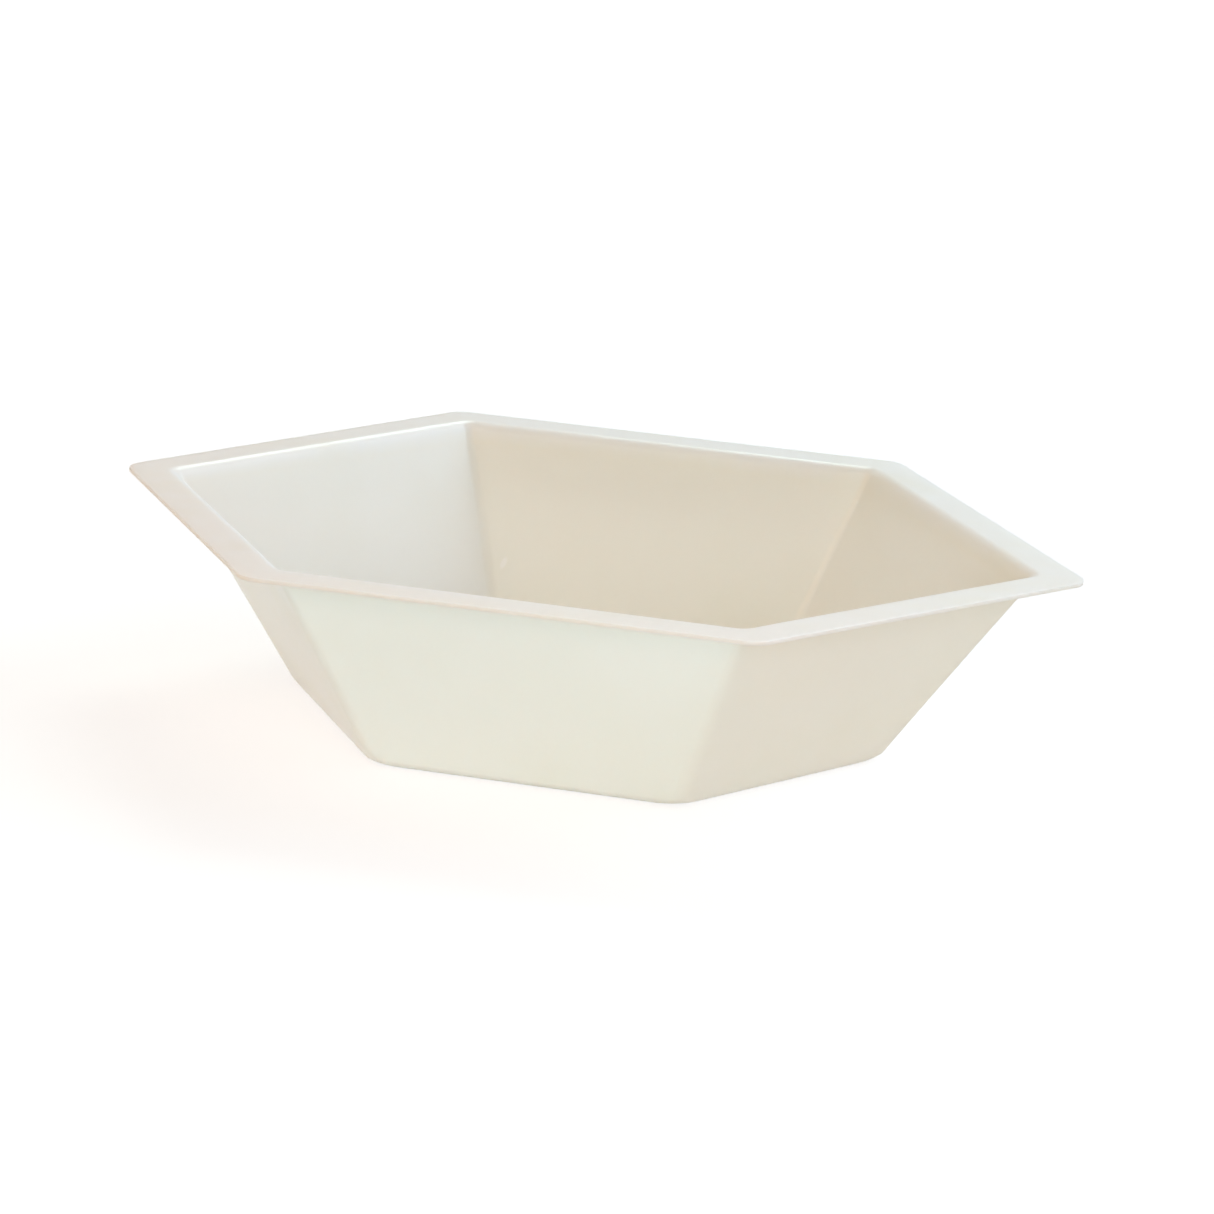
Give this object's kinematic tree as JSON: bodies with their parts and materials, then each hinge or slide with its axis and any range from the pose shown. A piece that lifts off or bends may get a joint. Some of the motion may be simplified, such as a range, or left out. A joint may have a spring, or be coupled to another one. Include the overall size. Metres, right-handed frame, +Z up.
{
  "type": "weighing boat",
  "caption": "Hexagonal weighing boat of thin moulded plastic: an open pan with leaning walls, a flat base and a flat flange round the rim, for weighing and pouring powders or liquids.",
  "frame": {"origin": "middle of the flat base, on the surface that the boat stands on", "axes": "+X along the boat from tip to tip, +Y across it, +Z up out of the open pan"},
  "size_m": [0.091, 0.066, 0.02],
  "materials": {
    "sheet": "satin, slightly translucent off-white"
  },
  "bodies": {
    "root": {"boat": "sheet"}
  },
  "joints": []
}
